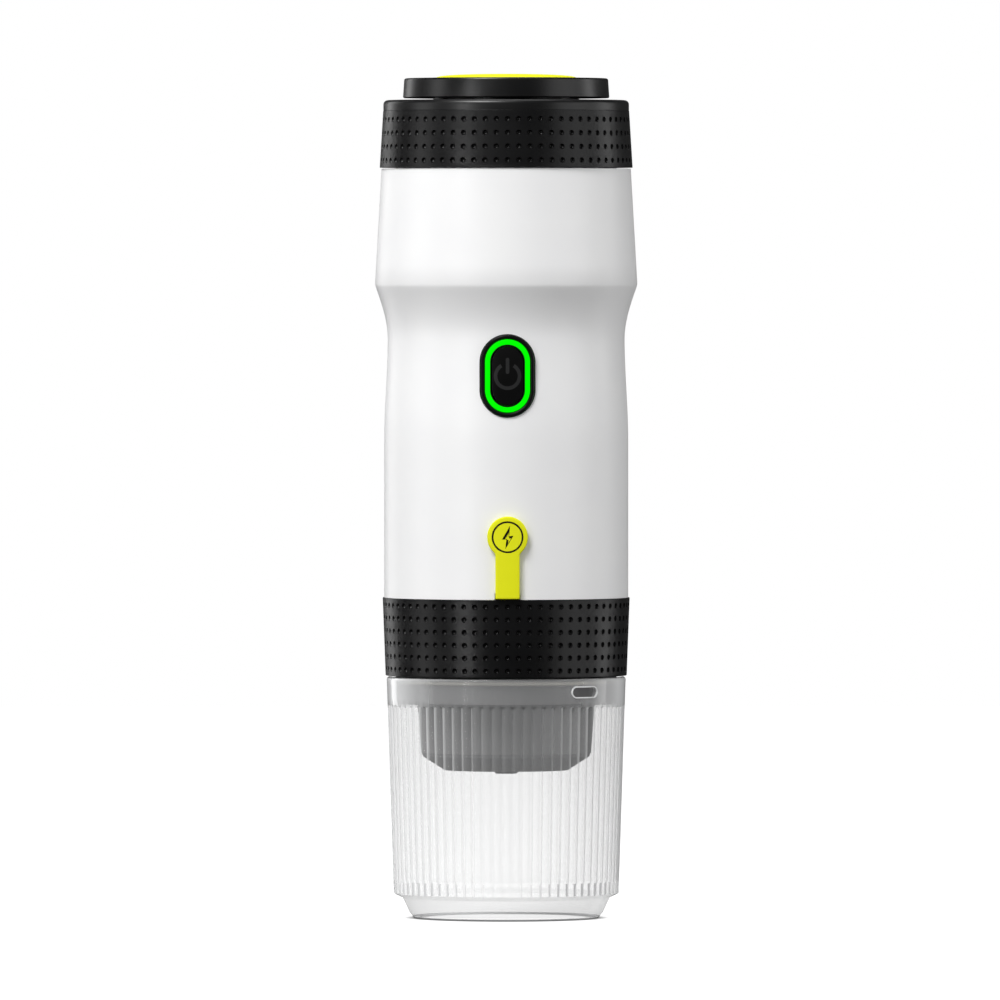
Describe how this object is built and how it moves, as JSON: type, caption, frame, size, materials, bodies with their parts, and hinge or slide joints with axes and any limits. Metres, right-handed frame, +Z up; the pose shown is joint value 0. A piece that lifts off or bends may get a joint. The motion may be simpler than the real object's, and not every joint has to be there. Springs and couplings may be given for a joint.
{
  "type": "portable espresso machine",
  "caption": "Slim upright battery espresso machine with a screw-on lid, waisted white body, lit power button, charging flap, unscrewing brew head and a clear reeded cup it stands on.",
  "frame": {"origin": "centre of the cup's foot, on the surface that the machine stands on", "axes": "+Z up along the main axis, the button and the charging flap face -Y"},
  "size_m": [0.072, 0.072, 0.2316],
  "materials": {
    "white_plastic": "satin moulded plastic, white",
    "black_plastic": "satin moulded plastic, black",
    "black_rubber": "dimpled soft rubber, black",
    "black_gloss": "gloss moulded plastic, black",
    "yellow_silicone": "satin silicone, lime yellow",
    "green_light": "lit light guide, green",
    "clear_plastic": "clear reeded plastic",
    "grey_plastic": "satin moulded plastic, grey",
    "tank_plastic": "smooth food-safe plastic, pale",
    "steel": "pressed stainless steel",
    "seal_silicone": "translucent grey silicone",
    "frame_plastic": "moulded plastic, dark grey",
    "cell_wrap": "blue film over a metal can",
    "heater_alloy": "die-cast alloy",
    "copper": "enamelled copper winding",
    "board_green": "circuit board, green"
  },
  "bodies": {
    "housing": {"base_ring": "grey_plastic", "shower_plate": "steel", "lower_grip_sleeve": "black_rubber", "outer_shell": "white_plastic", "water_tank": "tank_plastic", "tank_filter": "steel", "group_plate": "frame_plastic", "battery_tray": "frame_plastic", "frame_plate": "frame_plastic", "frame_pillars": "frame_plastic", "frame_screws": "steel", "battery_cells": "cell_wrap", "heater_block": "heater_alloy", "pump_barrel": "frame_plastic", "pump_coil": "copper", "pump_spring": "steel", "inlet_hose": "seal_silicone", "feed_hose": "seal_silicone", "control_board": "board_green", "push_switch": "black_plastic", "charging_port": "steel", "button_bezel": "black_gloss", "light_ring": "green_light", "port_flap_tail": "yellow_silicone"},
    "lid_seal_ring": {"lid_seal": "seal_silicone"},
    "lid": {"lid_cap": "black_plastic", "lid_grip_sleeve": "black_rubber", "lid_knob": "black_plastic", "lid_pad": "yellow_silicone", "lid_liner": "black_plastic", "lid_vent_valve": "seal_silicone"},
    "power_button": {"button_cap": "black_gloss"},
    "flap": {"port_flap": "yellow_silicone"},
    "plunger": {"pump_plunger": "steel"},
    "brew_gasket_ring": {"brew_gasket": "seal_silicone"},
    "brew_head": {"brew_chamber": "grey_plastic", "coffee_basket": "steel", "basket_filter": "steel", "spout_nozzle": "black_plastic", "cup_seal": "seal_silicone"},
    "cup": {"cup": "clear_plastic"}
  },
  "joints": [
    {"name": "lid_lift", "type": "slide", "parent": "housing", "child": "lid_seal_ring", "axis": [0, 0, 1], "range_m": [0, 0.06]},
    {"name": "lid_turn", "type": "hinge", "parent": "lid_seal_ring", "child": "lid", "pos_m": [0, 0, 0.2155], "axis": [0, 0, 1], "range_deg": [0, 360]},
    {"name": "button_press", "type": "slide", "parent": "housing", "child": "power_button", "axis": [0, 1, 0], "range_m": [0, 0.0006], "stiffness_N_per_m": 1500},
    {"name": "flap_swing", "type": "hinge", "parent": "housing", "child": "flap", "pos_m": [0, -0.0345, 0.089], "axis": [1, 0, 0], "range_deg": [0, 120], "stiffness_Nm_per_rad": 0.003},
    {"name": "pump_stroke", "type": "slide", "parent": "housing", "child": "plunger", "axis": [0, 0, 1], "range_m": [-0.0015, 0.0015], "stiffness_N_per_m": 1500, "deforming": ["pump_spring"]},
    {"name": "brew_drop", "type": "slide", "parent": "housing", "child": "brew_gasket_ring", "axis": [0, 0, -1], "range_m": [0, 0.06]},
    {"name": "brew_turn", "type": "hinge", "parent": "brew_gasket_ring", "child": "brew_head", "pos_m": [0, 0, 0.071], "axis": [0, 0, -1], "range_deg": [0, 360]},
    {"name": "cup_pull", "type": "slide", "parent": "brew_head", "child": "cup", "axis": [0, 0, -1], "range_m": [0, 0.09]}
  ]
}
